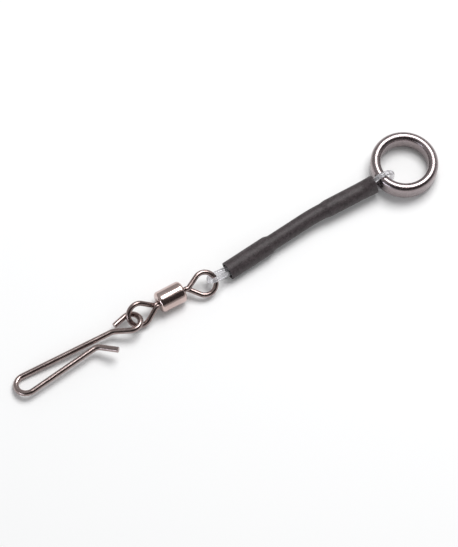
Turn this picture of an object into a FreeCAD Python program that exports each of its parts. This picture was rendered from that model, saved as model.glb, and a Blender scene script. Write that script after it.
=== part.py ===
import FreeCAD, Part
import os
from math import asin, atan2, cos, degrees, radians, sin, sqrt, tan

# Breakaway line connector, in millimetres. The origin is the centre of the ring, +X runs from the clip
# towards the ring, +Y is the far side and +Z is up. The connector lies on a level surface.

# Ring: one tall-walled steel ring with full-round edges
ring_outer_d = 15.0
ring_wall = 2.2
ring_height = 4.3

# Strand: one length of nylon monofilament with a closed loop at each end
strand_d = 1.1
strand_clear = 0.08          # between the strand and the ring that lies on it
strand_slack = 0.85          # free room between the ring's bore and the end of its loop
loop_round = 0.9             # how round the end of that loop is, up to 1
strand_tail = 1.0            # what stands out of each crimp behind the loop
cross_run = 3.0              # length over which the single run shifts to the other crimp's bore
fan_run = 1.0                # the two strands start to part this far inside the sleeve's mouth
eye_loop_r = 1.4             # bend of the strand round the swivel's eye
eye_loop_depth = 1.18        # from the eye's wire to the end of the loop
strand_shown = 3.35          # from the sleeve's end to the swivel's eye
eye_loop_run = 0.45          # the loop's two sides stay apart this far towards the sleeve
eye_loop_lean = 42.0         # slope of that loop against the surface, degrees

# Sleeve: flexible tube, stretched over a crimp at each end
sleeve_len = 38.3
sleeve_wall = 0.4
sleeve_ring_end_d = 3.9
sleeve_slim_d = 3.5
sleeve_swivel_end_d = 4.2
sleeve_ring_end_len = 13.2
sleeve_swivel_end_len = 10.4
sleeve_step = 1.6            # length over which the tube changes diameter
sleeve_bend = 5.8            # turn of the tube beside the ring end's crimp, degrees
sleeve_bend_len = 5.0
mouth_gap = 0.8              # from the ring's outer wall to the sleeve's mouth
mouth_flare = 0.9            # how far the parting strands push the mouth out, up and down
mouth_pinch = 0.05
mouth_wall = 0.28
flare_len = 3.4
mouth_side = 0.55            # the mouth lies this far to the near side of the ring's centre
sleeve_heading = -4.0        # of the sleeve at its mouth, degrees from +X

# Crimps: double-barrel tubes pressed on the strand
crimp_wall = 0.22
crimp_len = 7.6
crimp_grip = 0.02            # between a crimp's bore and the strand
crimp_ring_inset = 3.8       # from the mouth to the crimp at the ring's end
crimp_swivel_inset = 0.7     # from the other end of the sleeve to its crimp
crimp_roll = 12.0            # lean of the swivel end's crimp, degrees
crimp_flat = 0.12            # depth of each press mark
crimp_flat_len = 2.2

# Swivel: a barrel that holds the headed stems of two wire eyes
barrel_d = 4.9
barrel_len = 6.3
barrel_shoulder = 0.75
barrel_wall = 0.7
barrel_end_wall = 1.0
eye_wire_d = 1.15
eye_loop_radius = 2.5        # to the middle of the wire
eye_neck = 1.0               # from the barrel's face to where its two wires part
eye_neck_r = 0.8
eye_reach = 5.0              # from the barrel's face to the middle of the loop
eye_steps = 8                # bends in the loop
eye_tail_gap = 0.35          # from the tail's end to the barrel
line_eye_roll = 22.0         # lean of each eye, near side down, degrees
clip_eye_roll = 47.0
eye_clear = 0.12             # between the two wires at the neck
line_eye_cant = 11.0         # set of the line eye's neck, degrees
eye_pivot = 0.5              # from the barrel's face to where the neck is set over
stem_play = 0.05
head_d = 3.0
head_len = 1.2
head_play = 0.12
head_chamfer = 0.25
barrel_heading = -3.3
barrel_side = 1.33
barrel_lift = 0.02

# Spring clip: one piece of spring wire
clip_wire_d = 1.3
clip_bend_r = 2.42           # to the middle of the wire
clip_shank_len = 22.16
clip_knee_turn = 27.8
clip_knee_r = 2.4
clip_knee_run = 3.94
clip_hook_r = 2.16
clip_hook_turn = 226.0
clip_hook_end = 3.05
clip_leg_close = 10.0        # the leg closes towards the shank by this angle
clip_leg_len = 17.3
clip_tip_turn = 51.2
clip_tip_r = 1.8
clip_tip_len = 5.0
clip_heading = -6.1
clip_roll = 14.0             # near side up
clip_hang_x = -0.03          # from the eye's wire to the middle of the hook
clip_hang_y = -0.08
clip_hang_z = 0.1
clip_grip_angle = 15.0       # where on its loop the clip's eye carries the hook

V = FreeCAD.Vector
X_AXIS = V(1, 0, 0)
Y_AXIS = V(0, 1, 0)
Z_AXIS = V(0, 0, 1)

# Levels and places that follow from the sizes above
ring_mid_r = (ring_outer_d - ring_wall) / 2
ring_straight = ring_height / 2 - ring_wall / 2
ring_tilt = degrees(asin((strand_d + strand_clear) / (2 * ring_mid_r)))
ring_level = (ring_mid_r * sin(radians(ring_tilt)) + ring_straight * cos(radians(ring_tilt))
              + ring_wall / 2)
floor_z = -ring_level
wall_level = floor_z + ring_level + ring_mid_r * sin(radians(ring_tilt))
crimp_pitch = strand_d + 2 * crimp_grip + crimp_wall
mouth = V(-ring_outer_d / 2 - mouth_gap, -mouth_side, wall_level)
sleeve_pitch = degrees(asin((wall_level - floor_z - sleeve_swivel_end_d / 2) / sleeve_len))


def turned(axis, angle):
    """A rotation about an axis, in degrees."""
    return FreeCAD.Rotation(axis, angle)


def placed(shape, placement):
    """A copy of a shape in another frame."""
    moved = shape.copy()
    moved.Placement = placement.multiply(moved.Placement)
    return moved


def disc(centre, direction, radius):
    """A round face square to a direction."""
    return Part.Face(Part.Wire(Part.Circle(centre, direction, radius).toShape()))


def rounded_path(corners, radii):
    """Straight runs through the corners, joined by arcs that touch both runs. A corner
    that hardly turns is left out."""
    edges = []
    start = corners[0]
    for before, corner, after, radius in zip(corners, corners[1:], corners[2:], radii):
        back = (before - corner).normalize()
        ahead = (after - corner).normalize()
        half = back.getAngle(ahead) / 2
        if half > radians(89.9):
            continue
        setback = radius / tan(half)
        entry = corner + back * setback
        leave = corner + ahead * setback
        if (entry - start).dot(corner - start) < 0:
            raise ValueError("two bends of a path overlap")
        bisector = (back + ahead).normalize()
        middle = corner + bisector * (radius / sin(half) - radius)
        if (entry - start).Length > 1e-6:
            edges.append(Part.makeLine(start, entry))
        edges.append(Part.Arc(entry, middle, leave).toShape())
        start = leave
    if (corners[-1] - start).Length > 1e-6:
        edges.append(Part.makeLine(start, corners[-1]))
    return edges


def wire_along(edges, radius):
    """A round bar along straight and round edges that touch end to end."""
    spans = []
    for edge in edges:
        begin = edge.valueAt(edge.FirstParameter)
        ahead = edge.tangentAt(edge.FirstParameter)
        face = disc(begin, ahead, radius)
        if isinstance(edge.Curve, Part.Line):
            spans.append(face.extrude(ahead * edge.Length))
        else:
            circle = edge.Curve
            sweep = degrees(edge.Length / circle.Radius)
            axis = (begin - circle.Center).cross(ahead)
            spans.append(face.revolve(circle.Center, axis, sweep))
    return spans[0].multiFuse(spans[1:]).removeSplitter()


def build_ring():
    """The ring, turned about its own axis and leaning on the strand below it."""
    inner = ring_mid_r - ring_wall / 2
    outer = ring_mid_r + ring_wall / 2
    corners = [V(inner, 0, -ring_straight), V(inner, 0, ring_straight),
               V(outer, 0, ring_straight), V(outer, 0, -ring_straight)]
    top = V(ring_mid_r, 0, ring_height / 2)
    bottom = V(ring_mid_r, 0, -ring_height / 2)
    outline = Part.Wire([Part.makeLine(corners[0], corners[1]),
                         Part.Arc(corners[1], top, corners[2]).toShape(),
                         Part.makeLine(corners[2], corners[3]),
                         Part.Arc(corners[3], bottom, corners[0]).toShape()])
    level = Part.Face(outline).revolve(V(0, 0, 0), Z_AXIS, 360)
    return placed(level, FreeCAD.Placement(V(0, 0, 0), turned(Y_AXIS, ring_tilt)))


# The leader's own frame has its origin at the sleeve's mouth and +X out of the mouth
leader_turn = turned(Z_AXIS, sleeve_heading).multiply(turned(Y_AXIS, -sleeve_pitch))
leader_frame = FreeCAD.Placement(mouth, leader_turn)

bend_start = -sleeve_ring_end_len
bend_r = sleeve_bend_len / radians(sleeve_bend)
bend_centre = V(bend_start, -bend_r, 0)
bend_end = bend_centre + V(-bend_r * sin(radians(sleeve_bend)), bend_r * cos(radians(sleeve_bend)), 0)
rear_ahead = turned(Z_AXIS, sleeve_bend).multVec(V(-1, 0, 0))
rear_turn = turned(Z_AXIS, sleeve_bend)
slim_len = sleeve_len - sleeve_ring_end_len - sleeve_bend_len - sleeve_swivel_end_len


def rear_point(along, side=0.0, up=0.0):
    """A point of the leader behind its bend, at a distance from the bend's end."""
    return bend_end + rear_ahead * along + rear_turn.multVec(V(0, side, up))


def sleeve_body(shrink, lip_shrink):
    """The sleeve's outside, or its inside where the wall is taken off."""
    big = sleeve_ring_end_d / 2 - shrink
    slim = sleeve_slim_d / 2 - shrink
    rear = sleeve_swivel_end_d / 2 - shrink
    tall = sleeve_ring_end_d / 2 + mouth_flare - lip_shrink
    narrow = sleeve_ring_end_d / 2 - mouth_pinch - lip_shrink
    lip = Part.Ellipse(V(0, 0, tall), V(0, narrow, 0), V(0, 0, 0)).toShape()
    throat = Part.Circle(V(-flare_len, 0, 0), X_AXIS, big).toShape()
    throat.rotate(V(-flare_len, 0, 0), X_AXIS, -throat_start(throat))
    flare = Part.makeLoft([Part.Wire(throat), Part.Wire(lip)], True)
    step_at = bend_start + sleeve_step
    straight = disc(V(step_at, 0, 0), X_AXIS, big).extrude(V(-flare_len - step_at, 0, 0))
    taper = Part.makeCone(slim, big, sleeve_step, V(bend_start, 0, 0), X_AXIS)
    bend = disc(V(bend_start, 0, 0), X_AXIS, slim).revolve(bend_centre, Z_AXIS, sleeve_bend)
    back_slim = disc(bend_end, rear_ahead, slim).extrude(rear_ahead * (slim_len - sleeve_step))
    back_taper = Part.makeCone(slim, rear, sleeve_step, rear_point(slim_len - sleeve_step), rear_ahead)
    back = disc(rear_point(slim_len), rear_ahead, rear).extrude(rear_ahead * sleeve_swivel_end_len)
    return flare.multiFuse([straight, taper, bend, back_slim, back_taper, back]).removeSplitter()


def throat_start(circle):
    """How far round its axis a circle starts from +Z, in degrees."""
    begin = circle.valueAt(circle.FirstParameter) - circle.Curve.Center
    return degrees(atan2(-begin.y, begin.z))


def build_sleeve():
    """The flexible tube, open at both ends."""
    return sleeve_body(0.0, 0.0).cut(sleeve_body(sleeve_wall, mouth_wall))


def build_crimp(length):
    """A double-barrel tube along +X with its two bores side by side along Z."""
    bore = strand_d / 2 + crimp_grip
    shell = bore + crimp_wall
    barrels = []
    bores = []
    for side in (1, -1):
        centre = V(0, 0, side * crimp_pitch / 2)
        barrels.append(Part.makeCylinder(shell, length, centre, X_AXIS))
        bores.append(Part.makeCylinder(bore, length, centre, X_AXIS))
    waist = Part.makeBox(length, shell * 1.6, crimp_pitch, V(0, -shell * 0.8, -crimp_pitch / 2))
    body = barrels[0].fuse([barrels[1], waist]).removeSplitter()
    marks = []
    for place in (0.25, 0.75):
        for face in (1, -1):
            low = face * (shell - crimp_flat)
            depth = crimp_flat * 2
            base = low if face > 0 else low - depth
            marks.append(Part.makeBox(crimp_flat_len, depth, 2 * shell + crimp_pitch,
                                      V(length * place - crimp_flat_len / 2, base,
                                        -shell - crimp_pitch / 2)))
    return body.cut(bores + marks)


def fan_crest(edge, half, reach):
    """How far out a strand that clears a rounded edge comes to that edge's level."""
    gap = edge - V(-fan_run, 0, half)
    rise = atan2(gap.z, gap.x) + asin(reach / sqrt(gap.x ** 2 + gap.z ** 2))
    return -fan_run + (edge.z + reach - half) / tan(rise)


def build_strand():
    """The strand's two loops and the single run between them, one piece."""
    half = crimp_pitch / 2
    # Loop at the ring, in the upright plane of the sleeve's mouth
    reach = ring_wall / 2 + strand_d / 2 + strand_clear
    lean = radians(ring_tilt)
    wall = V(-ring_mid_r * cos(lean), -mouth_side, wall_level)
    edge = V(sin(lean), 0, cos(lean)) * ring_straight
    upper_edge = leader_frame.inverse().multVec(wall + edge)
    lower_edge = leader_frame.inverse().multVec(wall - edge)
    over = upper_edge.z + reach
    under = lower_edge.z - reach
    loop_end = upper_edge.x + ring_wall / 2 + strand_slack + strand_d / 2
    crest = fan_crest(upper_edge, half, reach)
    trough = fan_crest(V(lower_edge.x, 0, -lower_edge.z), half, reach)
    tail = -crimp_ring_inset - crimp_len - strand_tail
    corner_r = min((over - under) / 2, loop_end - max(crest, trough)) * loop_round
    corners = [V(tail, 0, half), V(-fan_run, 0, half), V(crest, 0, over), V(loop_end, 0, over),
               V(loop_end, 0, under), V(trough, 0, under), V(-fan_run, 0, -half)]
    radii = [strand_d, strand_d * 1.1, corner_r, corner_r, strand_d * 1.1, strand_d]

    # Single run through the slim part of the sleeve, round its bend
    roll = radians(crimp_roll)
    far_side = (half * cos(roll), -half * sin(roll))
    near_side = (-half * cos(roll), half * sin(roll))
    crimp_at = slim_len + sleeve_swivel_end_len - crimp_swivel_inset
    crimp_start = crimp_at - crimp_len
    corners += [V(bend_start - sleeve_bend_len / 2, 0, -half),
                rear_point(crimp_start - strand_tail - cross_run, 0, -half),
                rear_point(crimp_start - strand_tail, *far_side)]
    radii += [bend_r, strand_d * 3, strand_d * 3]

    # Loop at the swivel's eye, on a slope so that the eye's wire passes through it
    lean = radians(eye_loop_lean)
    into_leader = leader_frame.Rotation.inverted()
    side = into_leader.multVec(V(0, -cos(lean), sin(lean))) * eye_loop_r
    ahead = into_leader.multVec(X_AXIS)
    hole = leader_frame.inverse().multVec(line_eye_far())
    start = hole + ahead * eye_loop_run
    end = hole - ahead * eye_loop_depth
    corners += [rear_point(crimp_at + strand_d / 2, *far_side), start - side, end - side,
                end + side, start + side, rear_point(crimp_at + strand_d / 2, *near_side),
                rear_point(crimp_start - strand_tail, *near_side)]
    radii += [strand_d * 2, strand_d * 1.5, eye_loop_depth * 0.98, eye_loop_depth * 0.98,
              strand_d * 1.5, strand_d * 2]
    return wire_along(rounded_path(corners, radii), strand_d / 2)


# The swivel's own frame has its origin at the middle of the barrel and +X towards the sleeve
def swivel_frame():
    """The frame of the barrel, which rests on the surface."""
    level = floor_z + barrel_d / 2 + barrel_lift
    rear_end = leader_frame.multVec(rear_point(slim_len + sleeve_swivel_end_len))
    along = rear_end.x - strand_shown - eye_loop_radius - eye_reach - barrel_len / 2
    return FreeCAD.Placement(V(along, barrel_side, level), turned(Z_AXIS, barrel_heading))


def eye_frame(line_side):
    """An eye's frame on the barrel's face: +X out along the stem, +Y across the loop."""
    out = 1 if line_side else -1
    roll = line_eye_roll if line_side else clip_eye_roll
    base = FreeCAD.Placement(V(out * barrel_len / 2, 0, 0), turned(X_AXIS, roll))
    if not line_side:
        base = base.multiply(FreeCAD.Placement(V(0, 0, 0), turned(Z_AXIS, 180)))
    return swivel_frame().multiply(base)


# The eye's loop is bent in equal steps that climb by one wire, so that its tail lies on its stem
eye_lift = eye_wire_d + eye_clear
eye_neck_turn = degrees(asin(eye_loop_radius / (eye_reach - eye_neck)))
eye_flank = sqrt((eye_reach - eye_neck) ** 2 - eye_loop_radius ** 2)
eye_step_turn = (180 + 2 * eye_neck_turn) / eye_steps
eye_step_run = eye_loop_radius * tan(radians(eye_step_turn / 2))
eye_climb = eye_lift / (2 * eye_flank + 2 * eye_steps * eye_step_run)


def eye_cant(line_side):
    """The angle of an eye's neck to its stem."""
    return -line_eye_cant if line_side else 0.0


def canted(line_side, point):
    """A point of an eye, set over about the place where its neck leaves the stem."""
    pivot = V(eye_pivot, 0, 0)
    return pivot + turned(Z_AXIS, eye_cant(line_side)).multVec(point - pivot)


def eye_loop_point(line_side, angle):
    """The middle of the wire at an angle round an eye's loop, measured from the stem's axis."""
    centre = canted(line_side, V(eye_reach, 0, 0))
    spot = centre + turned(Z_AXIS, angle).multVec(V(eye_loop_radius, 0, 0))
    rise = eye_lift / 2 + eye_climb * eye_loop_radius * radians(angle - eye_cant(line_side))
    return eye_frame(line_side).multVec(spot + V(0, 0, rise))


def line_eye_far():
    """Where the line eye's wire passes through the strand's loop."""
    return eye_loop_point(True, sleeve_heading + sleeve_bend - barrel_heading)


def eye_path(line_side):
    """The middle of an eye's wire, from inside the barrel round to the tail's end."""
    turns = [-eye_neck_turn] + [eye_step_turn] * eye_steps + [-eye_neck_turn]
    runs = [eye_flank] + [eye_step_run] * eye_steps + [eye_flank]
    radii = [eye_neck_r] + [eye_loop_radius] * eye_steps + [eye_neck_r]
    spot = V(eye_neck, 0, 0)
    heading = 0.0
    corners = [spot]
    for turn, run, onward in zip(turns, runs, runs[1:]):
        heading += turn
        ahead = turned(Z_AXIS, heading).multVec(X_AXIS) + V(0, 0, eye_climb)
        spot = spot + ahead * (run + onward)
        corners.append(spot)
    corners.append(V(eye_tail_gap, 0, eye_lift))
    inside = barrel_end_wall + head_play
    path = [V(-inside, 0, 0), V(eye_pivot, 0, 0)] + [canted(line_side, c) for c in corners]
    bends = [eye_wire_d] + [r * 0.985 for r in radii]
    return rounded_path(path, bends)


def build_eye(line_side):
    """One wire eye: a headed stem, a loop, and a tail that lies over the stem."""
    inside = barrel_end_wall + head_play
    bar = wire_along(eye_path(line_side), eye_wire_d / 2)
    head = Part.makeCylinder(head_d / 2, head_len, V(-inside - head_len, 0, 0), X_AXIS)
    head = head.makeChamfer(head_chamfer, head.Edges)
    return placed(bar.fuse(head).removeSplitter(), eye_frame(line_side))


def build_barrel():
    """The barrel, turned, with rolled shoulders over the two stems."""
    half = barrel_len / 2
    outer = barrel_d / 2
    bore = eye_wire_d / 2 + stem_play
    cavity = outer - barrel_wall
    deep = half - barrel_end_wall
    edge = half - barrel_shoulder
    low = outer - barrel_shoulder
    mid = barrel_shoulder * sin(radians(45))
    right = [Part.makeLine(V(half, bore, 0), V(half, low, 0)),
             Part.Arc(V(half, low, 0), V(edge + mid, low + mid, 0), V(edge, outer, 0)).toShape()]
    left = [Part.Arc(V(-edge, outer, 0), V(-edge - mid, low + mid, 0), V(-half, low, 0)).toShape(),
            Part.makeLine(V(-half, low, 0), V(-half, bore, 0))]
    inside = [V(-half, bore, 0), V(-deep, bore, 0), V(-deep, cavity, 0), V(deep, cavity, 0),
              V(deep, bore, 0), V(half, bore, 0)]
    inner = [Part.makeLine(a, b) for a, b in zip(inside, inside[1:])]
    outline = Part.Wire(right + [Part.makeLine(V(edge, outer, 0), V(-edge, outer, 0))] + left + inner)
    level = Part.Face(outline).revolve(V(0, 0, 0), X_AXIS, 360)
    return placed(level, swivel_frame())


def clip_outline():
    """The clip's wire in its own plane: the leg's tip, round the bend, the shank and the hook."""
    close = radians(clip_leg_close)
    leg_start = V(clip_bend_r * sin(close), -clip_bend_r * cos(close), 0)
    leg_way = V(cos(close), sin(close), 0)
    leg_knee = leg_start + leg_way * clip_leg_len
    tip_way = turned(Z_AXIS, clip_leg_close - clip_tip_turn).multVec(X_AXIS)
    tip = leg_knee + tip_way * clip_tip_len
    tip_edges = rounded_path([tip, leg_knee, leg_start], [clip_tip_r])
    bend = Part.Arc(leg_start, V(-clip_bend_r, 0, 0), V(0, clip_bend_r, 0)).toShape()
    knee = V(clip_shank_len, clip_bend_r, 0)
    knee_way = turned(Z_AXIS, -clip_knee_turn).multVec(X_AXIS)
    hook_start = knee + knee_way * clip_knee_run
    shank = rounded_path([V(0, clip_bend_r, 0), knee, hook_start], [clip_knee_r])
    centre = hook_centre()
    spoke = hook_start - centre
    middle = centre + turned(Z_AXIS, clip_hook_turn / 2).multVec(spoke)
    hook_end = centre + turned(Z_AXIS, clip_hook_turn).multVec(spoke)
    hook = Part.Arc(hook_start, middle, hook_end).toShape()
    end_way = turned(Z_AXIS, clip_hook_turn).multVec(knee_way)
    end = Part.makeLine(hook_end, hook_end + end_way * clip_hook_end)
    return tip_edges + [bend] + shank + [hook, end]


def hook_centre():
    """The middle of the hook's round in the clip's own plane."""
    knee_way = turned(Z_AXIS, -clip_knee_turn).multVec(X_AXIS)
    start = V(clip_shank_len, clip_bend_r, 0) + knee_way * clip_knee_run
    return start + turned(Z_AXIS, 90).multVec(knee_way) * clip_hook_r


def clip_frame():
    """The clip's frame: the bend lies on the surface and the hook hangs on its eye."""
    grip = eye_loop_point(False, clip_grip_angle)
    roll = radians(clip_roll)
    bend_level = floor_z + clip_wire_d / 2 + clip_bend_r * sin(roll)
    centre = hook_centre()
    rise = grip.z - bend_level + centre.y * sin(roll)
    pitch = degrees(asin(rise / centre.x))
    turn = turned(Z_AXIS, clip_heading).multiply(turned(Y_AXIS, -pitch))
    turn = turn.multiply(turned(X_AXIS, -clip_roll))
    hang = V(clip_hang_x, clip_hang_y, clip_hang_z)
    return FreeCAD.Placement(grip + hang - turn.multVec(centre), turn)


def build_clip():
    """The spring clip, one bent wire."""
    return placed(wire_along(clip_outline(), clip_wire_d / 2), clip_frame())


def crimp_frames():
    """The two crimps' frames inside the sleeve."""
    front = FreeCAD.Placement(V(-crimp_ring_inset - crimp_len, 0, 0), FreeCAD.Rotation())
    back_end = slim_len + sleeve_swivel_end_len - crimp_swivel_inset
    turn = rear_turn.multiply(turned(X_AXIS, 90 - crimp_roll))
    back = FreeCAD.Placement(rear_point(back_end), turn)
    return leader_frame.multiply(front), leader_frame.multiply(back)


def main():
    front, back = crimp_frames()
    nodes = {
        "ring": build_ring(),
        "sleeve": placed(build_sleeve(), leader_frame),
        "mono_strand": placed(build_strand(), leader_frame),
        "crimp_ring_end": placed(build_crimp(crimp_len), front),
        "crimp_swivel_end": placed(build_crimp(crimp_len), back),
        "swivel_barrel": build_barrel(),
        "line_eye": build_eye(True),
        "clip_eye": build_eye(False),
        "spring_clip": build_clip(),
    }
    os.makedirs("parts", exist_ok=True)
    for name, shape in nodes.items():
        shape.exportStep("parts/" + name + ".step")
        box = shape.BoundBox
        print("%-18s solids %d valid %s volume %.1f  x %.2f..%.2f  y %.2f..%.2f  z %.2f..%.2f" % (
            name, len(shape.Solids), shape.isValid(), shape.Volume,
            box.XMin, box.XMax, box.YMin, box.YMax, box.ZMin - floor_z, box.ZMax - floor_z))


main()
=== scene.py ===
"""Breakaway line connector lying on a pale table: a steel ring, a sleeved leader of clear nylon,
a barrel swivel and a bent-wire spring clip."""
from math import asin, atan2, cos, pi, radians, sin, sqrt, tan

import bpy
from mathutils import Matrix, Vector


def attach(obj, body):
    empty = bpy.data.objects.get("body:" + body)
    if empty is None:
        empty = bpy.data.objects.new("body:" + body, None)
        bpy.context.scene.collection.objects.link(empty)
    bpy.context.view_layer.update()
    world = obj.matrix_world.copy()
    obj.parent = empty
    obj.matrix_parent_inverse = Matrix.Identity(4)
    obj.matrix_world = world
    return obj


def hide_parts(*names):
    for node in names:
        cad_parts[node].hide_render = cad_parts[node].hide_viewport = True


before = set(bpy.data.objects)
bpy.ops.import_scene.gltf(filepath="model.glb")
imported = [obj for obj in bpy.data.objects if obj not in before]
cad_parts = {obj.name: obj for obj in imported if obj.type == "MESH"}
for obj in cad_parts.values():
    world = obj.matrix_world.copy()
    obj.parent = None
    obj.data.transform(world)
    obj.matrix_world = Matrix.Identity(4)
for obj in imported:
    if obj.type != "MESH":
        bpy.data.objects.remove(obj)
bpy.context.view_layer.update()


# Ring
# A plain steel ring with full-round edges, turned in one piece, then tumbled and polished bright. It
# is loose in the leader's loop, and leans a little because one strand of that loop lies under it.
ring_outer = 0.0150
ring_wall = 0.0022
ring_height = 0.0043
ring_steps = 192
ring_edge_steps = 20
strand_d = 0.0011
strand_clear = 0.00008          # between the strand and the ring
ring_middle = (ring_outer - ring_wall) / 2
ring_lean = asin((strand_d + strand_clear) / (2 * ring_middle))


def add(tree, kind, inputs=(), **settings):
    """A node with its settings and inputs. An input is a value, or another node's output."""
    made = tree.nodes.new(kind)
    for key, value in settings.items():
        setattr(made, key, value)
    for key, value in dict(inputs).items():
        if isinstance(value, bpy.types.NodeSocket):
            tree.links.new(value, made.inputs[key])
        else:
            made.inputs[key].default_value = value
    return made


def geometry_tree(name, sizes):
    """An empty Geometry Nodes tree with named number inputs, and its input and output nodes."""
    tree = bpy.data.node_groups.new(name, "GeometryNodeTree")
    tree.interface.new_socket("Geometry", in_out="INPUT", socket_type="NodeSocketGeometry")
    for label, value in sizes.items():
        whole = isinstance(value, int)
        kind = "NodeSocketInt" if whole else "NodeSocketFloat"
        tree.interface.new_socket(label, in_out="INPUT", socket_type=kind).default_value = value
    tree.interface.new_socket("Material", in_out="INPUT", socket_type="NodeSocketMaterial")
    tree.interface.new_socket("Geometry", in_out="OUTPUT", socket_type="NodeSocketGeometry")
    return tree, tree.nodes.new("NodeGroupInput").outputs, tree.nodes.new("NodeGroupOutput")


def grown(name, tree, start, material, sharp=40, **sizes):
    """The plain mesh that a Geometry Nodes tree makes from a starting mesh."""
    seed = bpy.data.objects.new(name + "_seed", start)
    bpy.context.scene.collection.objects.link(seed)
    modifier = seed.modifiers.new("grow", "NODES")
    modifier.node_group = tree
    given = {"material": material, **sizes}
    for item in tree.interface.items_tree:
        label = item.name.replace(" ", "_").lower()
        if item.in_out == "INPUT" and label in given:
            modifier[item.identifier] = given[label]
    bpy.context.view_layer.update()
    seen = seed.evaluated_get(bpy.context.evaluated_depsgraph_get())
    mesh = bpy.data.meshes.new_from_object(seen)
    bpy.data.objects.remove(seed)
    mesh.name = name
    mesh.shade_smooth()
    mesh.set_sharp_from_angle(angle=radians(sharp))
    piece = bpy.data.objects.new(name, mesh)
    bpy.context.scene.collection.objects.link(piece)
    return piece


def place(piece, matrix):
    """Moves a piece's mesh, and leaves its object at the origin."""
    piece.data.transform(matrix)
    piece.data.update()
    return piece


# Fine handling marks: soft blotches and hair scratches, for every metal here
marks = bpy.data.node_groups.new("handling_marks", "ShaderNodeTree")
marks.interface.new_socket("Vector", in_out="INPUT", socket_type="NodeSocketVector")
for label in ("Blotch Scale", "Scratch Scale"):
    marks.interface.new_socket(label, in_out="INPUT", socket_type="NodeSocketFloat")
for label in ("Blotches", "Scratches"):
    marks.interface.new_socket(label, in_out="OUTPUT", socket_type="NodeSocketFloat")
marks_in = marks.nodes.new("NodeGroupInput").outputs
marks_out = marks.nodes.new("NodeGroupOutput")
blotch = add(marks, "ShaderNodeTexNoise", {
    "Vector": marks_in["Vector"], "Scale": marks_in["Blotch Scale"], "Detail": 3.0, "Roughness": 0.55})
stretch = add(marks, "ShaderNodeMapping", {"Vector": marks_in["Vector"], "Scale": (0.25, 3.0, 3.0)})
hair = add(marks, "ShaderNodeTexNoise", {
    "Vector": stretch.outputs[0], "Scale": marks_in["Scratch Scale"], "Detail": 2.0, "Roughness": 0.6})
fine = add(marks, "ShaderNodeMapRange", {
    "Value": hair.outputs["Fac"], "From Min": 0.45, "From Max": 0.75})
marks.links.new(blotch.outputs["Fac"], marks_out.inputs["Blotches"])
marks.links.new(fine.outputs["Result"], marks_out.inputs["Scratches"])


def metal(name, light, dark, smooth, dull, bump=0.02, scratches=900.0):
    """A bright metal between two close tones and two roughnesses, with fine marks."""
    material = bpy.data.materials.new(name)
    material.use_nodes = True
    tree = material.node_tree
    shader = tree.nodes["Principled BSDF"]
    where = add(tree, "ShaderNodeTexCoord")
    group = add(tree, "ShaderNodeGroup", node_tree=marks)
    tree.links.new(where.outputs["Object"], group.inputs["Vector"])
    group.inputs["Blotch Scale"].default_value = 350.0
    group.inputs["Scratch Scale"].default_value = scratches
    ramp = add(tree, "ShaderNodeValToRGB", {"Fac": group.outputs["Blotches"]})
    ramp.color_ramp.elements[0].position = 0.3
    ramp.color_ramp.elements[0].color = (*dark, 1)
    ramp.color_ramp.elements[1].position = 0.7
    ramp.color_ramp.elements[1].color = (*light, 1)
    rough = add(tree, "ShaderNodeMapRange", {
        "Value": group.outputs["Scratches"], "To Min": smooth, "To Max": dull})
    relief = add(tree, "ShaderNodeBump", {
        "Height": group.outputs["Scratches"], "Strength": bump, "Distance": 0.00002})
    tree.links.new(ramp.outputs["Color"], shader.inputs["Base Color"])
    tree.links.new(rough.outputs["Result"], shader.inputs["Roughness"])
    tree.links.new(relief.outputs["Normal"], shader.inputs["Normal"])
    shader.inputs["Metallic"].default_value = 1.0
    return material


ring_steel = metal("ring_steel", (0.36, 0.306, 0.311), (0.296, 0.249, 0.253), 0.25, 0.34)

# The ring's tree sweeps a rounded upright section round a circle
ring_tree, ring_in, ring_out = geometry_tree("turned_ring", {
    "Outer Diameter": ring_outer, "Wall": ring_wall, "Height": ring_height, "Steps": ring_steps,
    "Edge Steps": ring_edge_steps})
across = add(ring_tree, "ShaderNodeMath", {0: ring_in["Outer Diameter"], 1: ring_in["Wall"]},
             operation="SUBTRACT")
middle = add(ring_tree, "ShaderNodeMath", {0: across.outputs[0], 1: 0.5}, operation="MULTIPLY")
just_half = 0.4999              # so that the two fillets of an edge don't quite meet
round_edge = add(ring_tree, "ShaderNodeMath", {0: ring_in["Wall"], 1: just_half}, operation="MULTIPLY")
circle = add(ring_tree, "GeometryNodeCurvePrimitiveCircle", {
    "Resolution": ring_in["Steps"], "Radius": middle.outputs[0]})
section = add(ring_tree, "GeometryNodeCurvePrimitiveQuadrilateral", {
    "Width": ring_in["Wall"], "Height": ring_in["Height"]})
soft = add(ring_tree, "GeometryNodeFilletCurve", {
    "Curve": section.outputs["Curve"], "Radius": round_edge.outputs[0]})
soft.mode = "POLY"
ring_tree.links.new(ring_in["Edge Steps"], soft.inputs["Count"])
swept = add(ring_tree, "GeometryNodeCurveToMesh", {
    "Curve": circle.outputs["Curve"], "Profile Curve": soft.outputs["Curve"]})
whole = add(ring_tree, "GeometryNodeRealizeInstances", {"Geometry": swept.outputs["Mesh"]})
dressed = add(ring_tree, "GeometryNodeSetMaterial", {
    "Geometry": whole.outputs["Geometry"], "Material": ring_in["Material"]})
ring_tree.links.new(dressed.outputs["Geometry"], ring_out.inputs["Geometry"])

ring = grown("steel_ring", ring_tree, bpy.data.meshes.new("ring_start"), ring_steel,
             outer_diameter=ring_outer, wall=ring_wall, height=ring_height, steps=ring_steps,
             edge_steps=ring_edge_steps)
place(ring, Matrix.Rotation(ring_lean, 4, "Y"))
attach(ring, "ring")
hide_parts("ring")


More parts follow.
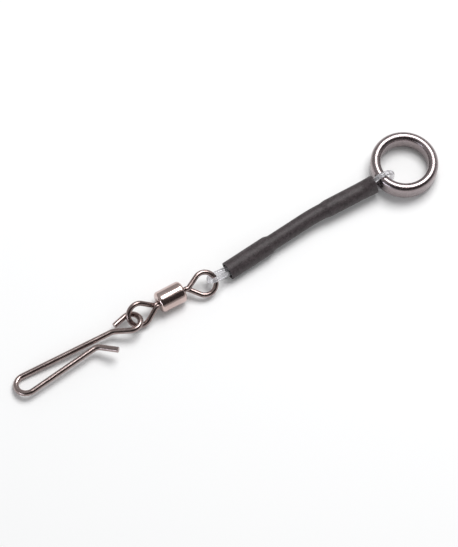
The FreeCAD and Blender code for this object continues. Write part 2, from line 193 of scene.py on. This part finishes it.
# Strand
# One length of clear nylon monofilament, drawn smooth. It goes round the ring, back down the sleeve
# and round the swivel's eye, and each loop is closed by a crimp inside the sleeve.
mouth_gap = 0.0008              # from the ring's outer wall to the sleeve's mouth
mouth_side = 0.00055            # the mouth's shift to the near side of the ring's centre
sleeve_len = 0.0383
sleeve_heading = radians(-4.0)
sleeve_bend = radians(5.8)
sleeve_bend_len = 0.0050
ring_end_len = 0.0132
swivel_end_len = 0.0104
swivel_end_d = 0.0042
crimp_len = 0.0076
crimp_pitch = 0.00136
crimp_ring_inset = 0.0038
crimp_swivel_inset = 0.0007
crimp_roll = radians(12.0)
strand_tail = 0.0010            # what stands out of each crimp behind the loop
cross_run = 0.0030              # over which the single run shifts to the other crimp's bore
loop_round = 0.9                # how round the end of the ring's loop is, up to 1
fan_run = 0.0010                # the strands start to part this far inside the mouth
strand_slack = 0.00085          # free room between the ring's bore and the end of its loop
eye_loop_r = 0.0014
eye_loop_depth = 0.00118        # from the eye's wire to the end of its loop
eye_loop_run = 0.00045          # the loop's sides stay apart this far towards the sleeve
eye_loop_lean = radians(42.0)
strand_shown = 0.00335          # from the sleeve's end to the swivel's eye

ring_straight = (ring_height - ring_wall) / 2
floor_z = -(ring_middle * sin(ring_lean) + ring_straight * cos(ring_lean) + ring_wall / 2)
wall_level = ring_middle * sin(ring_lean)
sleeve_pitch = asin((wall_level - floor_z - swivel_end_d / 2) / sleeve_len)
leader = (Matrix.Translation((-ring_outer / 2 - mouth_gap, -mouth_side, wall_level))
          @ Matrix.Rotation(sleeve_heading, 4, "Z") @ Matrix.Rotation(-sleeve_pitch, 4, "Y"))
bend_r = sleeve_bend_len / sleeve_bend
bend_end = Vector((-ring_end_len - bend_r * sin(sleeve_bend), -bend_r + bend_r * cos(sleeve_bend), 0))
rear = Matrix.Translation(bend_end) @ Matrix.Rotation(sleeve_bend, 4, "Z")
slim_len = sleeve_len - ring_end_len - sleeve_bend_len - swivel_end_len

# The swivel's barrel, which the strand reaches for, and its two eyes
barrel_len = 0.0063
barrel_d = 0.0049
barrel_heading = radians(-3.3)
barrel_side = 0.00133
barrel_lift = 0.00002
eye_wire_d = 0.00115
eye_loop_radius = 0.0025
eye_neck = 0.0010               # from the barrel's face to where the eye's two wires part
eye_neck_r = 0.0008
eye_reach = 0.0050              # from the barrel's face to the middle of the loop
eye_pivot = 0.0005              # from the barrel's face to where the neck is set over
eye_steps = 8                   # bends in the loop
eye_clear = 0.00012             # between the two wires at the neck
line_eye_roll = radians(22)     # lean of each eye, near side down
line_eye_cant = radians(-11)    # set of the line eye's neck
clip_eye_roll = radians(47)
eye_lift = eye_wire_d + eye_clear
eye_turn = asin(eye_loop_radius / (eye_reach - eye_neck))
eye_flank = sqrt((eye_reach - eye_neck) ** 2 - eye_loop_radius ** 2)
eye_step = (pi + 2 * eye_turn) / eye_steps
eye_step_run = eye_loop_radius * tan(eye_step / 2)
eye_climb = eye_lift / (2 * eye_flank + 2 * eye_steps * eye_step_run)
sleeve_end = leader @ rear @ Vector((-slim_len - swivel_end_len, 0, 0))
barrel_x = sleeve_end.x - strand_shown - eye_loop_radius - eye_reach - barrel_len / 2
barrel = (Matrix.Translation((barrel_x, barrel_side, floor_z + barrel_d / 2 + barrel_lift))
          @ Matrix.Rotation(barrel_heading, 4, "Z"))
line_eye = barrel @ Matrix.Translation((barrel_len / 2, 0, 0)) @ Matrix.Rotation(line_eye_roll, 4, "X")
clip_eye = (barrel @ Matrix.Translation((-barrel_len / 2, 0, 0))
            @ Matrix.Rotation(clip_eye_roll, 4, "X") @ Matrix.Rotation(pi, 4, "Z"))
line_cant = (Matrix.Translation((eye_pivot, 0, 0)) @ Matrix.Rotation(line_eye_cant, 4, "Z")
             @ Matrix.Translation((-eye_pivot, 0, 0)))


def eye_point(place_of, cant, cant_angle, angle):
    """The middle of an eye's wire at an angle round its loop."""
    rise = eye_lift / 2 + eye_climb * eye_loop_radius * (angle - cant_angle)
    centre = cant @ Vector((eye_reach, 0, 0))
    spoke = Vector((eye_loop_radius * cos(angle), eye_loop_radius * sin(angle), rise))
    return place_of @ (centre + spoke)


def fan_crest(edge_x, edge_z, half, reach):
    """How far out a strand that clears a rounded edge comes to that edge's level."""
    gap_x, gap_z = edge_x + fan_run, edge_z - half
    rise = atan2(gap_z, gap_x) + asin(reach / sqrt(gap_x ** 2 + gap_z ** 2))
    return -fan_run + (edge_z + reach - half) / tan(rise)


def rounded(corners, radii, steps=12):
    """Points along straight runs whose corners are rounded by touching arcs."""
    points = [corners[0]]
    for before, corner, after, radius in zip(corners, corners[1:], corners[2:], radii):
        back, ahead = (before - corner).normalized(), (after - corner).normalized()
        half = back.angle(ahead) / 2
        if half > radians(89.9):
            continue
        centre = corner + (back + ahead).normalized() * radius / sin(half)
        entry = corner + back * radius / tan(half) - centre
        leave = corner + ahead * radius / tan(half) - centre
        sweep = pi - 2 * half
        count = max(3, int(steps * sweep / (pi / 2)))
        for k in range(count + 1):
            a = sweep * k / count
            points.append(centre + (entry * sin(sweep - a) + leave * sin(a)) / sin(sweep))
    points.append(corners[-1])
    return points


# The bent bar's tree sweeps a round section along a path, thinner where the path says so
bar_tree, bar_in, bar_out = geometry_tree("bent_bar", {"Wire Diameter": 0.001, "Sides": 32})
bar_r = add(bar_tree, "ShaderNodeMath", {0: bar_in["Wire Diameter"], 1: 0.5}, operation="MULTIPLY")
bar_path = add(bar_tree, "GeometryNodeMeshToCurve", {"Mesh": bar_in["Geometry"]})
bar_swell = add(bar_tree, "GeometryNodeInputNamedAttribute", {"Name": "swell"}, data_type="FLOAT")
bar_round = add(bar_tree, "GeometryNodeCurvePrimitiveCircle", {
    "Resolution": bar_in["Sides"], "Radius": bar_r.outputs[0]})
bar_mesh = add(bar_tree, "GeometryNodeCurveToMesh", {
    "Curve": bar_path.outputs["Curve"], "Profile Curve": bar_round.outputs["Curve"],
    "Scale": bar_swell.outputs["Attribute"], "Fill Caps": True})
bar_whole = add(bar_tree, "GeometryNodeRealizeInstances", {"Geometry": bar_mesh.outputs["Mesh"]})
bar_dressed = add(bar_tree, "GeometryNodeSetMaterial", {
    "Geometry": bar_whole.outputs["Geometry"], "Material": bar_in["Material"]})
bar_tree.links.new(bar_dressed.outputs["Geometry"], bar_out.inputs["Geometry"])


def bar(name, points, diameter, material, matrix, rim=0.00006, sides=32):
    """A round bar along a path, with its cut ends' rims taken off, in the row's frame."""
    first, last = (points[1] - points[0]).normalized(), (points[-1] - points[-2]).normalized()
    path = [points[0], points[0] + first * rim] + points[1:-1] + [points[-1] - last * rim, points[-1]]
    mesh = bpy.data.meshes.new(name + "_path")
    mesh.from_pydata([matrix @ p for p in path], [(k, k + 1) for k in range(len(path) - 1)], [])
    swell = mesh.attributes.new("swell", "FLOAT", "POINT")
    ends = 1 - 2 * rim / diameter
    swell.data.foreach_set("value", [ends] + [1.0] * (len(path) - 2) + [ends])
    return grown(name, bar_tree, mesh, material, wire_diameter=diameter, sides=sides)


nylon = bpy.data.materials.new("clear_nylon")
nylon.use_nodes = True
nylon_tree = nylon.node_tree
nylon_shader = nylon_tree.nodes["Principled BSDF"]
nylon_where = add(nylon_tree, "ShaderNodeTexCoord")
nylon_noise = add(nylon_tree, "ShaderNodeTexNoise", {
    "Vector": nylon_where.outputs["Object"], "Scale": 900.0, "Detail": 3.0})
nylon_tone = add(nylon_tree, "ShaderNodeValToRGB", {"Fac": nylon_noise.outputs["Fac"]})
nylon_tone.color_ramp.elements[0].color = (0.84, 0.84, 0.88, 1)
nylon_tone.color_ramp.elements[1].color = (0.97, 0.95, 0.97, 1)
nylon_rough = add(nylon_tree, "ShaderNodeMapRange", {
    "Value": nylon_noise.outputs["Fac"], "To Min": 0.04, "To Max": 0.12})
nylon_bump = add(nylon_tree, "ShaderNodeBump", {
    "Height": nylon_noise.outputs["Fac"], "Strength": 0.15, "Distance": 0.00005})
nylon_tree.links.new(nylon_tone.outputs["Color"], nylon_shader.inputs["Base Color"])
nylon_tree.links.new(nylon_rough.outputs["Result"], nylon_shader.inputs["Roughness"])
nylon_tree.links.new(nylon_bump.outputs["Normal"], nylon_shader.inputs["Normal"])
nylon_shader.inputs["Transmission Weight"].default_value = 0.75
nylon_shader.inputs["IOR"].default_value = 1.53

half = crimp_pitch / 2
reach = ring_wall / 2 + strand_d / 2 + strand_clear
wall = Vector((-ring_middle * cos(ring_lean), -mouth_side, wall_level))
edge = Vector((sin(ring_lean), 0, cos(ring_lean))) * ring_straight
upper_edge = leader.inverted() @ (wall + edge)
lower_edge = leader.inverted() @ (wall - edge)
over, under = upper_edge.z + reach, lower_edge.z - reach
loop_end = upper_edge.x + ring_wall / 2 + strand_slack + strand_d / 2
crest = fan_crest(upper_edge.x, upper_edge.z, half, reach)
trough = fan_crest(lower_edge.x, -lower_edge.z, half, reach)
loop_r = min((over - under) / 2, loop_end - max(crest, trough)) * loop_round
crimp_at = slim_len + swivel_end_len - crimp_swivel_inset
crimp_start = crimp_at - crimp_len
far_side = (half * cos(crimp_roll), -half * sin(crimp_roll))
near_side = (-far_side[0], -far_side[1])
turn_back = leader.to_3x3().inverted()
side = turn_back @ Vector((0, -cos(eye_loop_lean), sin(eye_loop_lean))) * eye_loop_r
along = turn_back @ Vector((1, 0, 0))
hole_angle = sleeve_heading + sleeve_bend - barrel_heading
hole = leader.inverted() @ eye_point(line_eye, line_cant, line_eye_cant, hole_angle)
strand_path = [
    Vector((-crimp_ring_inset - crimp_len - strand_tail, 0, half)), Vector((-fan_run, 0, half)),
    Vector((crest, 0, over)), Vector((loop_end, 0, over)), Vector((loop_end, 0, under)),
    Vector((trough, 0, under)), Vector((-fan_run, 0, -half)),
    Vector((-ring_end_len - sleeve_bend_len / 2, 0, -half)),
    rear @ Vector((-crimp_start + strand_tail + cross_run, 0, -half)),
    rear @ Vector((-crimp_start + strand_tail, *far_side)),
    rear @ Vector((-crimp_at - strand_d / 2, *far_side)), hole + along * eye_loop_run - side,
    hole - along * eye_loop_depth - side, hole - along * eye_loop_depth + side,
    hole + along * eye_loop_run + side, rear @ Vector((-crimp_at - strand_d / 2, *near_side)),
    rear @ Vector((-crimp_start + strand_tail, *near_side))]
eye_bend = eye_loop_depth * 0.98
strand_radii = [strand_d, strand_d * 1.1, loop_r, loop_r, strand_d * 1.1, strand_d, bend_r,
                strand_d * 3, strand_d * 3, strand_d * 2, strand_d * 1.5, eye_bend, eye_bend,
                strand_d * 1.5, strand_d * 2]
strand = bar("nylon_strand", rounded(strand_path, strand_radii), strand_d, nylon, leader, rim=0.00003)
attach(strand, "leader")
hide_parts("mono_strand")


# Crimps
# Two double-barrel tubes of soft metal, pressed flat twice on the strand. They are sealed in the
# sleeve, so their CAD nodes stay and only take their metal from here.
crimp_metal = metal("crimp_metal", (0.62, 0.62, 0.64), (0.5, 0.5, 0.52), 0.3, 0.5, bump=0.1)
for crimp in ("crimp_ring_end", "crimp_swivel_end"):
    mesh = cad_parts[crimp].data
    mesh.materials.clear()
    mesh.materials.append(crimp_metal)


# Sleeve
# A soft dark plastic tube with a fine matte grain, pushed hot over the strand and its crimps. It is
# thicker over each crimp, slim between them, and its mouth is spread by the loop round the ring.
ring_end_d = 0.0039
slim_d = 0.0035
sleeve_wall = 0.0004
mouth_wall = 0.00028
mouth_flare = 0.0009
mouth_pinch = 0.00005
flare_len = 0.0034
sleeve_step = 0.0016            # over which the tube changes diameter

sleeve_plastic = bpy.data.materials.new("sleeve_plastic")
sleeve_plastic.use_nodes = True
tube_tree = sleeve_plastic.node_tree
tube_shader = tube_tree.nodes["Principled BSDF"]
tube_where = add(tube_tree, "ShaderNodeTexCoord")
tube_spot = tube_where.outputs["Object"]
mottle = add(tube_tree, "ShaderNodeTexNoise", {
    "Vector": tube_spot, "Scale": 1100.0, "Detail": 4.0, "Roughness": 0.65})
grain = add(tube_tree, "ShaderNodeTexNoise", {
    "Vector": tube_spot, "Scale": 2900.0, "Detail": 3.0, "Roughness": 0.6})
specks = add(tube_tree, "ShaderNodeTexVoronoi", {"Vector": tube_spot, "Scale": 1500.0})
speck = add(tube_tree, "ShaderNodeMapRange", {
    "Value": specks.outputs["Distance"], "From Min": 0.05, "From Max": 0.20, "To Min": 0.35,
    "To Max": 0.0})
texture = add(tube_tree, "ShaderNodeMath", {0: mottle.outputs["Fac"], 1: grain.outputs["Fac"]},
              operation="ADD")
shade = add(tube_tree, "ShaderNodeMath", {0: texture.outputs[0], 1: 0.5}, operation="MULTIPLY")
tone = add(tube_tree, "ShaderNodeValToRGB", {"Fac": shade.outputs[0]})
tone.color_ramp.elements[0].position = 0.40
tone.color_ramp.elements[0].color = (0.022, 0.0155, 0.017, 1)
tone.color_ramp.elements[1].position = 0.60
tone.color_ramp.elements[1].color = (0.056, 0.042, 0.046, 1)
dusty = add(tube_tree, "ShaderNodeMix", {
    "Factor": speck.outputs["Result"], "A": tone.outputs["Color"], "B": (0.16, 0.15, 0.155, 1)},
    data_type="RGBA")
tube_bump = add(tube_tree, "ShaderNodeBump", {
    "Height": texture.outputs[0], "Strength": 0.6, "Distance": 0.00006})
tube_rough = add(tube_tree, "ShaderNodeMapRange", {
    "Value": grain.outputs["Fac"], "To Min": 0.45, "To Max": 0.65})
tube_tree.links.new(dusty.outputs["Result"], tube_shader.inputs["Base Color"])
tube_tree.links.new(tube_bump.outputs["Normal"], tube_shader.inputs["Normal"])
tube_tree.links.new(tube_rough.outputs["Result"], tube_shader.inputs["Roughness"])


def eased(value, start, end):
    """0 before start and 1 after end, with a soft change between them."""
    share = min(1.0, max(0.0, (value - start) / (end - start)))
    return share * share * (3 - 2 * share)


def sleeve_place(run):
    """The frame of the sleeve's middle at a run from its mouth."""
    if run <= ring_end_len:
        return Matrix.Translation((-run, 0, 0))
    turn = min(1.0, (run - ring_end_len) / sleeve_bend_len) * sleeve_bend
    spot = Matrix.Translation((-ring_end_len - bend_r * sin(turn), bend_r * (cos(turn) - 1), 0))
    past = max(0.0, run - ring_end_len - sleeve_bend_len)
    return spot @ Matrix.Rotation(turn, 4, "Z") @ Matrix.Translation((-past, 0, 0))


def sleeve_radius(run):
    """The sleeve's outer radius at a run from its mouth, before the mouth is spread."""
    rear_step = sleeve_len - swivel_end_len
    slim = eased(run, ring_end_len - sleeve_step, ring_end_len)
    wide = eased(run, rear_step - sleeve_step, rear_step)
    return (ring_end_d + (slim_d - ring_end_d) * slim + (swivel_end_d - slim_d) * wide) / 2


def sleeve_ring(run, inside, count):
    """One round of the sleeve's outer or inner skin."""
    spread = 1 - eased(run, 0.0, flare_len)
    skin = (sleeve_wall + (mouth_wall - sleeve_wall) * spread) if inside else 0.0
    tall = sleeve_radius(run) + mouth_flare * spread - skin
    broad = sleeve_radius(run) - mouth_pinch * spread - skin
    spot = leader @ sleeve_place(run)
    angles = [2 * pi * k / count for k in range(count)]
    return [spot @ Vector((0, broad * sin(a), tall * cos(a))) for a in angles]


around = 72
lengthwise = 260
lip = 0.00008
lip_to_lip = sleeve_len - 2 * lip
runs = [0.0, lip] + [lip + lip_to_lip * k / lengthwise for k in range(1, lengthwise)]
runs += [sleeve_len - lip, sleeve_len]
verts = []
for run in runs:
    verts += sleeve_ring(run, False, around)
for run in reversed(runs):
    verts += sleeve_ring(run, True, around)
rounds = len(runs) * 2
faces = []
for r in range(rounds):
    this, onward = r * around, (r + 1) % rounds * around
    for k in range(around):
        beside = (k + 1) % around
        faces.append((this + k, this + beside, onward + beside, onward + k))
mesh = bpy.data.meshes.new("tube_sleeve")
mesh.from_pydata(verts, [], faces)
mesh.shade_smooth()
mesh.set_sharp_from_angle(angle=radians(50))
mesh.materials.append(sleeve_plastic)
sleeve = bpy.data.objects.new("tube_sleeve", mesh)
bpy.context.scene.collection.objects.link(sleeve)
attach(sleeve, "leader")
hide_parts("sleeve")


# Swivel barrel
# A turned barrel of bright nickelled metal with rolled shoulders, closed over the two headed stems
# so that each eye turns in it by itself.
barrel_shoulder = 0.00075
barrel_wall = 0.0007
barrel_end_wall = 0.0010
stem_play = 0.00005
hole_chamfer = 0.00008
shoulder_support = 0.0001       # a round beside each shoulder, which keeps the highlight straight
barrel_metal = metal("barrel_metal", (0.63, 0.50, 0.47), (0.54, 0.42, 0.395), 0.17, 0.25,
                     scratches=1400.0)


def revolved(name, outline, material, matrix, count=128, sharp=50):
    """A closed outline of (along, radius) points turned about the X axis."""
    angles = [2 * pi * k / count for k in range(count)]
    points = [matrix @ Vector((x, r * cos(a), r * sin(a))) for x, r in outline for a in angles]
    skin = []
    for j in range(len(outline)):
        this, onward = j * count, (j + 1) % len(outline) * count
        for k in range(count):
            beside = (k + 1) % count
            skin.append((this + k, this + beside, onward + beside, onward + k))
    made = bpy.data.meshes.new(name)
    made.from_pydata(points, [], skin)
    made.shade_smooth()
    made.set_sharp_from_angle(angle=radians(sharp))
    made.materials.append(material)
    piece = bpy.data.objects.new(name, made)
    bpy.context.scene.collection.objects.link(piece)
    return piece


barrel_face, barrel_r = barrel_len / 2, barrel_d / 2
stem_hole = eye_wire_d / 2 + stem_play
cavity_end, cavity_r = barrel_face - barrel_end_wall, barrel_r - barrel_wall
shoulder = [(barrel_face - barrel_shoulder + barrel_shoulder * sin(a),
             barrel_r - barrel_shoulder + barrel_shoulder * cos(a))
            for a in [pi / 2 * k / 10 for k in range(11)]]
straight = barrel_face - barrel_shoulder - shoulder_support
inner = [(barrel_face, stem_hole + hole_chamfer), (barrel_face - hole_chamfer, stem_hole),
         (cavity_end, stem_hole), (cavity_end, cavity_r)]
outline = ([(-x, r) for x, r in reversed(shoulder)] + [(-straight, barrel_r), (straight, barrel_r)]
           + shoulder + inner + [(-x, r) for x, r in reversed(inner)])
barrel_piece = revolved("swivel_barrel_shell", outline, barrel_metal, barrel)
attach(barrel_piece, "barrel")
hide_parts("swivel_barrel")


# Swivel eyes
# Two like eyes of drawn steel wire with a dark bright finish. Each is bent round one pin from its
# headed stem, and its tail lies over the stem and ends short of the barrel.
eye_wire = metal("eye_wire", (0.34, 0.265, 0.252), (0.255, 0.195, 0.184), 0.23, 0.34, bump=0.03)
head_r = 0.0015
head_len = 0.0012
head_at = 0.00112               # from the barrel's face to the head
head_chamfer = 0.0002
eye_tail_gap = 0.00035          # from the tail's end to the barrel
corner_share = 0.985            # of each corner's largest radius, so that the arcs don't quite meet

bends = [-eye_turn] + [eye_step] * eye_steps + [-eye_turn]
lengths = [eye_flank] + [eye_step_run] * eye_steps + [eye_flank]
spot = Vector((eye_neck, 0, 0))
heading = 0.0
loop_corners = [spot.copy()]
for bend, length, onward in zip(bends, lengths, lengths[1:]):
    heading += bend
    spot = spot + Vector((cos(heading), sin(heading), eye_climb)) * (length + onward)
    loop_corners.append(spot.copy())
loop_corners.append(Vector((eye_tail_gap, 0, eye_lift)))
loop_radii = [eye_neck_r] + [eye_loop_radius] * eye_steps + [eye_neck_r]
eye_radii = [eye_wire_d] + [r * corner_share for r in loop_radii]
head_end = head_at + head_len
head_outline = [(-head_at, 0.0), (-head_at, head_r - head_chamfer), (-head_at - head_chamfer, head_r),
                (-head_end + head_chamfer, head_r), (-head_end, head_r - head_chamfer),
                (-head_end, 0.0)]
for name, body, node, matrix, cant in (("line_side_eye", "line_side", "line_eye", line_eye, line_cant),
                                       ("clip_side_eye", "clip_side", "clip_eye", clip_eye, Matrix())):
    stem = [Vector((-head_at - head_chamfer, 0, 0)), Vector((eye_pivot, 0, 0))]
    eye_path = rounded(stem + [cant @ c for c in loop_corners], eye_radii, steps=20)
    eye = bar(name, eye_path, eye_wire_d, eye_wire, matrix)
    head = revolved(name + "_head", head_outline, eye_wire, matrix, count=48)
    for piece in (eye, head):
        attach(piece, body)
    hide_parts(node)


# Spring clip
# One piece of hard drawn spring wire, bent flat: a hook closed on the swivel's eye, a long shank, a
# round bend, and a leg with a bent-out tip that a line's loop is slid past.
clip_wire_d = 0.0013
clip_bend_r = 0.00242
clip_shank_len = 0.02216
clip_knee_turn = radians(27.8)
clip_knee_r = 0.0024
clip_knee_run = 0.00394
clip_hook_r = 0.00216
clip_hook_turn = radians(226.0)
clip_hook_end = 0.00305
clip_close = radians(10.0)      # the leg closes towards the shank by this angle
clip_leg_len = 0.0173
clip_tip_turn = radians(51.2)
clip_tip_r = 0.0018
clip_tip_len = 0.0050
clip_heading = radians(-6.1)
clip_roll = radians(14)         # near side up
clip_grip_angle = radians(15)   # where on its loop the clip's eye carries the hook
clip_hang = Vector((-0.00003, -0.00008, 0.0001))
clip_wire = metal("clip_wire", (0.41, 0.33, 0.315), (0.31, 0.245, 0.235), 0.22, 0.31, bump=0.03)

knee_way = Vector((cos(clip_knee_turn), -sin(clip_knee_turn), 0))
hook_start = Vector((clip_shank_len, clip_bend_r, 0)) + knee_way * clip_knee_run
hook_centre = hook_start + Vector((sin(clip_knee_turn), cos(clip_knee_turn), 0)) * clip_hook_r
grip = eye_point(clip_eye, Matrix(), 0.0, clip_grip_angle)
bend_level = floor_z + clip_wire_d / 2 + clip_bend_r * sin(clip_roll)
clip_pitch = asin((grip.z - bend_level + hook_centre.y * sin(clip_roll)) / hook_centre.x)
clip_turn = (Matrix.Rotation(clip_heading, 4, "Z") @ Matrix.Rotation(-clip_pitch, 4, "Y")
             @ Matrix.Rotation(-clip_roll, 4, "X"))
clip = Matrix.Translation(grip + clip_hang - clip_turn @ hook_centre) @ clip_turn

leg_start = Vector((clip_bend_r * sin(clip_close), -clip_bend_r * cos(clip_close), 0))
leg_knee = leg_start + Vector((cos(clip_close), sin(clip_close), 0)) * clip_leg_len
tip_way = Vector((cos(clip_close - clip_tip_turn), sin(clip_close - clip_tip_turn), 0))
leg = rounded([leg_knee + tip_way * clip_tip_len, leg_knee, leg_start], [clip_tip_r], steps=24)
bend = [Vector((-clip_bend_r * sin(a), clip_bend_r * -cos(a), 0))
        for a in [-clip_close + (pi + clip_close) * k / 48 for k in range(1, 48)]]
shank = rounded([Vector((0, clip_bend_r, 0)), Vector((clip_shank_len, clip_bend_r, 0)), hook_start],
                [clip_knee_r], steps=24)
spoke = hook_start - hook_centre
hook = [hook_centre + Matrix.Rotation(clip_hook_turn * k / 56, 3, "Z") @ spoke for k in range(1, 57)]
end_way = Matrix.Rotation(clip_hook_turn, 3, "Z") @ knee_way
hook.append(hook[-1] + end_way * clip_hook_end)
spring_clip = bar("spring_clip_wire", leg + bend + shank + hook, clip_wire_d, clip_wire, clip)
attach(spring_clip, "clip")
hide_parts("spring_clip")


# Table and backdrop
# A plain pale matt table, level under the object, which the metal and the clear line mirror. A black
# cloth hangs on the camera's side, seen only in the bright metal, as a studio has it.
middle_x = -0.0530
cloth_half = 1.2
cloth_reach = 0.9
cloth_low = radians(18)
cloth_high = radians(84)

table_paint = bpy.data.materials.new("table_white")
table_paint.use_nodes = True
table_shader = table_paint.node_tree.nodes["Principled BSDF"]
table_shader.inputs["Base Color"].default_value = (0.9, 0.9, 0.9, 1)
table_shader.inputs["Roughness"].default_value = 0.9
table_shader.inputs["Specular IOR Level"].default_value = 0.1
black_cloth = bpy.data.materials.new("black_cloth")
black_cloth.use_nodes = True
cloth_shader = black_cloth.node_tree.nodes["Principled BSDF"]
cloth_shader.inputs["Base Color"].default_value = (0.07, 0.06, 0.06, 1)
cloth_shader.inputs["Specular IOR Level"].default_value = 0.0


def flat(name, corners, material):
    """A flat four-cornered piece of the studio."""
    made = bpy.data.meshes.new(name)
    made.from_pydata(corners, [], [(0, 1, 2, 3)])
    made.materials.append(material)
    piece = bpy.data.objects.new(name, made)
    bpy.context.scene.collection.objects.link(piece)
    return piece


table = flat("table", [(x, y, floor_z) for x, y in ((-3, -3), (3, -3), (3, 3), (-3, 3))], table_paint)
hung = [(end, -cloth_reach * cos(angle), cloth_reach * sin(angle))
        for angle, end in ((cloth_low, middle_x - cloth_half), (cloth_low, middle_x + cloth_half),
                           (cloth_high, middle_x + cloth_half), (cloth_high, middle_x - cloth_half))]
near_card = flat("near_card", hung, black_cloth)
near_card.visible_camera = False
near_card.visible_diffuse = False
near_card.visible_shadow = False
near_card.visible_transmission = False

# A soft box over the object, a little beyond it and to the ring's side, and a low bluish strip at the
# clip's end, which only catches the ring's edges and the barrel's shoulder
world = bpy.data.worlds.new("studio")
bpy.context.scene.world = world
world.use_nodes = True
background = world.node_tree.nodes["Background"]
background.inputs["Color"].default_value = (1, 1, 1, 1)
background.inputs["Strength"].default_value = 0.40
lamp_reach = 0.6


def area_light(name, size, size_y, energy, colour, middle, way):
    """A rectangular lamp that shines back along a way from a middle."""
    lamp = bpy.data.lights.new(name, "AREA")
    lamp.shape = "RECTANGLE"
    lamp.size = size
    lamp.size_y = size_y
    lamp.energy = energy
    lamp.color = colour
    piece = bpy.data.objects.new(name, lamp)
    bpy.context.scene.collection.objects.link(piece)
    piece.location = middle + way * lamp_reach
    piece.rotation_euler = way.to_track_quat("Z", "Y").to_euler()


area_light("soft_box", 0.36, 0.32, 3.1, (1, 1, 1), Vector((middle_x, 0, 0)),
           Vector((0.40, 0.19, 0.90)).normalized())
area_light("low_strip", 0.30, 0.05, 0.55, (0.80, 0.88, 1.0), Vector((0, 0, 0)),
           Vector((-0.974, -0.138, 0.173)).normalized())

# Camera: a long lens above the near side, turned as the photograph shows the connector
lens_px = 8000.0
photo_px = 547.0
view_pitch = radians(65.75)
view_heading = radians(-33.0)
camera_reach = 1.760
sight = Vector((-0.04611, 0.00001, floor_z))
rightward = Vector((cos(view_heading), sin(view_heading), 0))
ahead = Vector((-sin(view_heading) * cos(view_pitch), cos(view_heading) * cos(view_pitch),
                -sin(view_pitch)))
upward = rightward.cross(ahead)
eye = bpy.data.cameras.new("camera")
eye.sensor_width = 36.0
eye.lens = lens_px * eye.sensor_width / photo_px
eye.clip_end = 20.0
camera = bpy.data.objects.new("camera", eye)
bpy.context.scene.collection.objects.link(camera)
camera.matrix_world = Matrix.Translation(sight - ahead * camera_reach) @ Matrix(
    (rightward, upward, -ahead)).transposed().to_4x4()
bpy.context.scene.camera = camera
bpy.context.scene.view_settings.view_transform = "Standard"
